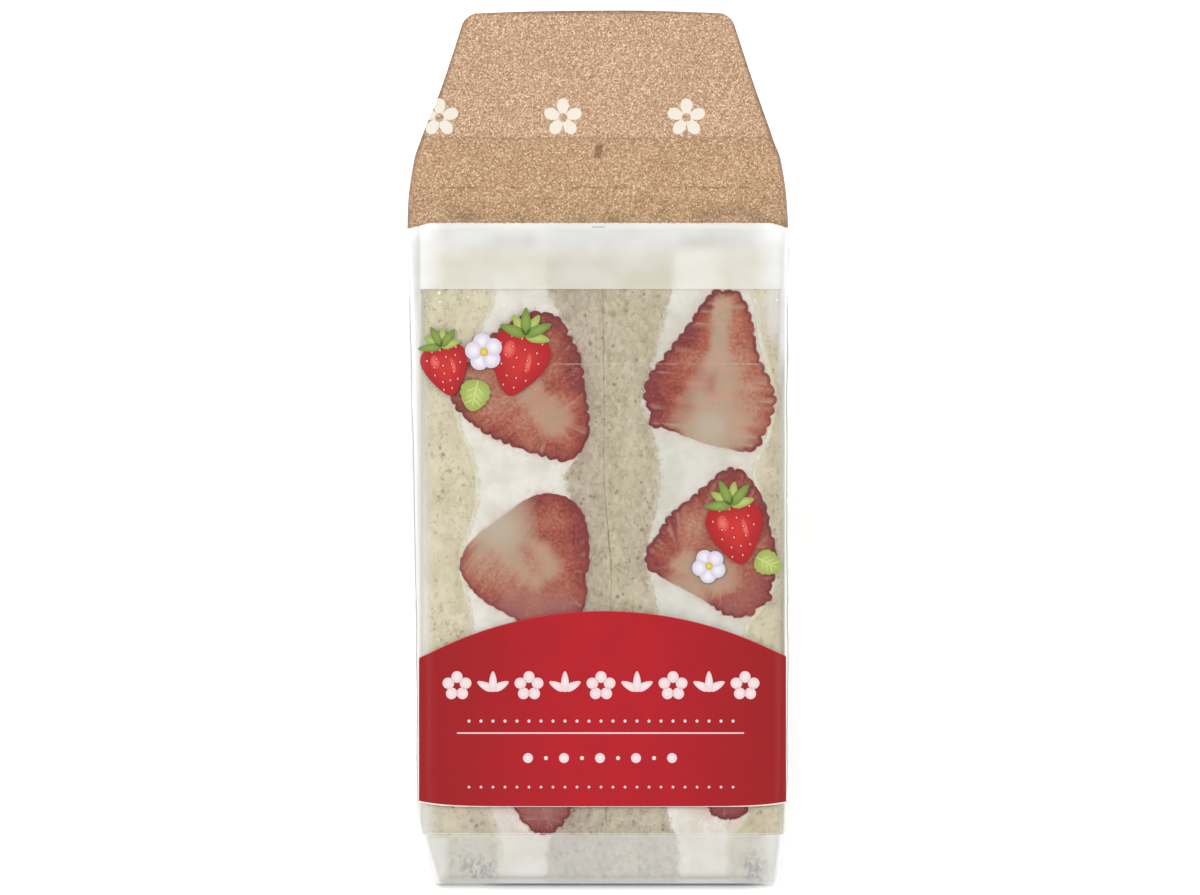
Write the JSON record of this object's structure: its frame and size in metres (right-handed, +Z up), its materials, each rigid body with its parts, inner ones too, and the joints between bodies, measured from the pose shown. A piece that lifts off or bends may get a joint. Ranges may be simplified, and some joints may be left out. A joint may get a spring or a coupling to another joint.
{
  "type": "strawberry fruit sandwich pack",
  "caption": "Triangular film pack holding strawberry and cream sandwich halves side by side, cut faces to the front, with a flat seal fin on top and a clear front label.",
  "frame": {"origin": "middle of the flat panel that the pack rests on, under the lower leg of the sandwiches", "axes": "+Z up, -Y towards the viewer and the pack's sharp lower edge, +X to the viewer's right"},
  "size_m": [0.0853, 0.1476, 0.1299],
  "materials": {
    "film": "thin frosted packing film with soft gloss",
    "label": "glossy clear label film, printed red at its foot",
    "kraft_print": "matt film printed like brown paper with fine flecks",
    "bread": "soft white bread crumb with small pores",
    "whipped_cream": "smooth moist whipped cream",
    "custard": "pale yellow custard cream",
    "strawberry": "wet cut fruit, red flesh round a pale core",
    "label_print": "opaque printed ink under gloss film"
  },
  "bodies": {
    "root": {"pack": "film", "front_label": "label"}
  },
  "joints": []
}
